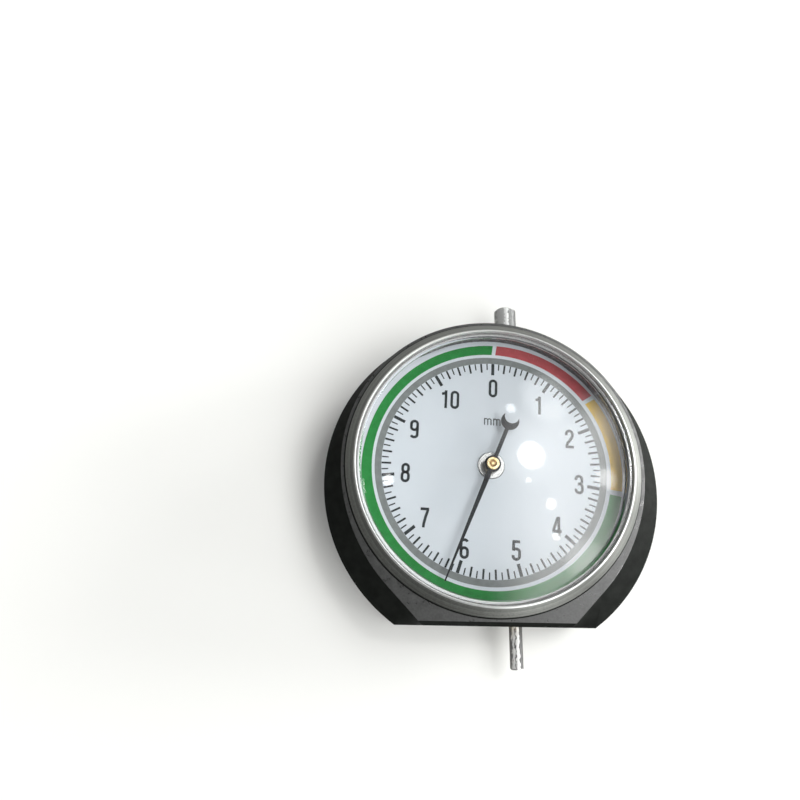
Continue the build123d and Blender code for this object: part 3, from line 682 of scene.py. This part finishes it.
def print_dial():
    """Ring, coloured zones, divisions, numbers and unit."""
    grey = ink("grey", (0.2, 0.222, 0.22))
    black = ink("black", (0.02, 0.026, 0.029))
    colours = {
        "red": ink("red", (0.44, 0.075, 0.085)),
        "yellow": ink("yellow", (0.78, 0.5, 0.005)),
        "green": ink("green", (0.012, 0.225, 0.04)),
    }
    arc_band("scale_ring", GREY_RING, 0, 360, grey)
    for zone, (start, end) in ZONES.items():
        arc_band("zone_" + zone, COLOUR_RING, start, end, colours[zone], COLOUR_SHIFTS)
    ticks(black)
    for number, (radius, angle) in enumerate(NUMERAL_PLACES):
        figure("numeral_%d" % number, str(number), clockwise(radius, angle), NUMERAL_HEIGHT, NUMERAL_STROKE,
               TENS_SHIFT, black)
    faint = ink("unit", (0.07, 0.08, 0.085))
    figure("unit_mark", "mm", Vector(UNIT_PLACE), UNIT_HEIGHT, UNIT_STROKE, UNIT_SPACING, faint)


def aimed(place, forward, roll):
    """Matrix of a camera at a place, looking along a direction, with +Y up before its roll."""
    forward = forward.normalized()
    up = (Vector((0, 1, 0)) - forward * forward.y).normalized()
    right = forward.cross(up)
    turned_up = up * math.cos(roll) + right * math.sin(roll)
    right = forward.cross(turned_up)
    return Matrix((
        (right.x, turned_up.x, -forward.x, place.x),
        (right.y, turned_up.y, -forward.y, place.y),
        (right.z, turned_up.z, -forward.z, place.z),
        (0, 0, 0, 1),
    ))


def add_camera():
    data = bpy.data.cameras.new("camera")
    data.lens = CAMERA_LENS
    data.sensor_width = SENSOR
    data.clip_start, data.clip_end = CLIPPING
    camera = bpy.data.objects.new("camera", data)
    bpy.context.scene.collection.objects.link(camera)
    camera.matrix_world = aimed(CAMERA_PLACE * MM, CAMERA_AIM - CAMERA_PLACE, CAMERA_ROLL)
    bpy.context.scene.camera = camera


def mirrored(x, y):
    """Direction that the camera sees mirrored in the window, at a place in millimetres from its middle."""
    centre = Vector((0, 0, LENS_HIGH.z / MM - SPHERE))
    normal = Vector((x, y, math.sqrt(SPHERE ** 2 - x ** 2 - y ** 2))).normalized()
    view = (CAMERA_PLACE - centre - normal * SPHERE).normalized()
    return 2 * normal.dot(view) * normal - view


def add_world():
    """Soft lamps and a broad pale side painted on a dim sky, which is white where it is only a background."""
    world = bpy.data.worlds.new("studio")
    bpy.context.scene.world = world
    world.use_nodes = True
    tree = world.node_tree
    direction = tree.nodes.new("ShaderNodeTexCoord").outputs["Generated"]

    def math_node(operation, first, second):
        node = tree.nodes.new("ShaderNodeMath")
        node.operation = operation
        for socket, value in zip(node.inputs, (first, second)):
            if isinstance(value, bpy.types.NodeSocket):
                tree.links.new(value, socket)
            else:
                socket.default_value = value
        return node.outputs[0]

    def smooth(value, start, end, level):
        spread = tree.nodes.new("ShaderNodeMapRange")
        spread.interpolation_type = "SMOOTHSTEP"
        tree.links.new(value, spread.inputs["Value"])
        for socket, number in (("From Min", start), ("From Max", end), ("To Min", 0), ("To Max", level)):
            spread.inputs[socket].default_value = number
        return spread.outputs[0]

    def lamp(towards, inner, outer, level):
        facing = tree.nodes.new("ShaderNodeVectorMath")
        facing.operation = "DOT_PRODUCT"
        tree.links.new(direction, facing.inputs[0])
        facing.inputs[1].default_value = towards.normalized()
        limits = (math.cos(math.radians(angle)) for angle in (outer, inner))
        return smooth(facing.outputs["Value"], *limits, level)

    split = tree.nodes.new("ShaderNodeSeparateXYZ")
    tree.links.new(direction, split.inputs[0])
    rise, fall, level = SIDE
    band = math_node("MULTIPLY", smooth(split.outputs["X"], *rise, level),
                     smooth(split.outputs["X"], *reversed(fall), 1))
    levels = [math_node("MULTIPLY", band, smooth(split.outputs["Y"], *SIDE_TOP, 1))]
    levels += [lamp(*low) for low in LOW_RIGHT]
    levels += [lamp(mirrored(*place), inner, outer, level) for place, inner, outer, level in LAMPS]
    total = GENERAL
    for level in levels:
        total = math_node("ADD", level, total)
    rays = tree.nodes.new("ShaderNodeLightPath").outputs
    unmirrored = math_node("LESS_THAN", rays["Glossy Depth"], 1)
    through = math_node("MULTIPLY", rays["Is Transmission Ray"], unmirrored)
    show = tree.nodes.new("ShaderNodeMix")
    tree.links.new(math_node("MAXIMUM", rays["Is Camera Ray"], through), show.inputs["Factor"])
    tree.links.new(total, show.inputs["A"])
    show.inputs["B"].default_value = BACKDROP
    tree.links.new(show.outputs["Result"], tree.nodes["Background"].inputs["Strength"])
    tree.nodes["Background"].inputs["Color"].default_value = (1, 1, 1, 1)


def add_floor():
    """Pale paper floor, whiter where it is only seen behind the object or mirrored in it."""
    look = Look("floor", FLOOR_COLOUR, 0.7)
    pale = tuple(c + 0.01 for c in FLOOR_COLOUR)
    look.colour(look.blend(look.noise(60, 2), FLOOR_COLOUR, pale))
    rays = look.add("ShaderNodeLightPath").outputs
    seen = look.add("ShaderNodeMath", {0: rays["Is Camera Ray"], 1: rays["Is Glossy Ray"]},
                    operation="MAXIMUM")
    behind = look.add("ShaderNodeMath", {0: seen.outputs[0], 1: rays["Is Transmission Ray"]},
                      operation="MAXIMUM")
    paper = look.add("ShaderNodeMath", {0: behind.outputs[0], 1: FLOOR_PAPER}, operation="MULTIPLY")
    look.set(look.shader, {"Emission Color": (1, 1, 0.985, 1), "Emission Strength": paper.outputs[0]})
    bm = bmesh.new()
    bmesh.ops.create_grid(bm, x_segments=1, y_segments=1, size=FLOOR_SIZE)
    mesh = bpy.data.meshes.new("floor")
    bm.to_mesh(mesh)
    bm.free()
    mesh.materials.append(look.material)
    floor = bpy.data.objects.new("floor", mesh)
    bpy.context.scene.collection.objects.link(floor)
    floor.location.z = cad_box[0][2] - FLOOR_GAP * MM


dress(moulded_plastic(), "housing", "back_cover")
add_bezel(bezel_metal())
add_window(window_plastic())
dress(spacer_metal(), "lens_spacer")
dress(dial_enamel(), "dial_plate")
dress(needle_black(), "pointer")
dress(nickel(), "front_bush")
dress(brass(), "pointer_boss", "rear_bush", "bridge_plate", "bridge_pillars", "pinion", "upper_bush",
      "lower_bush")
dress(rod_metal("stem_metal", (0.6, 0.61, 0.6), 0.42, 0.08, 0.3, STEM_PAINTED_LIGHT), "push_rod")
dress(rod_metal("pin_metal", (0.97, 0.97, 0.96), 0.32, 0.12, 0.4, PIN_PAINTED_LIGHT), "measuring_pin")
dress(arbor_steel(), "arbor")
dress(steel(), "rack_bar", "rack_pins", "thrust_washer", "bridge_screws", "spring_screw", "friction_spring")
dress(dark_steel(), "cover_screws")
print_dial()
add_floor()
add_world()
add_camera()
bpy.context.scene.view_settings.view_transform = "Standard"
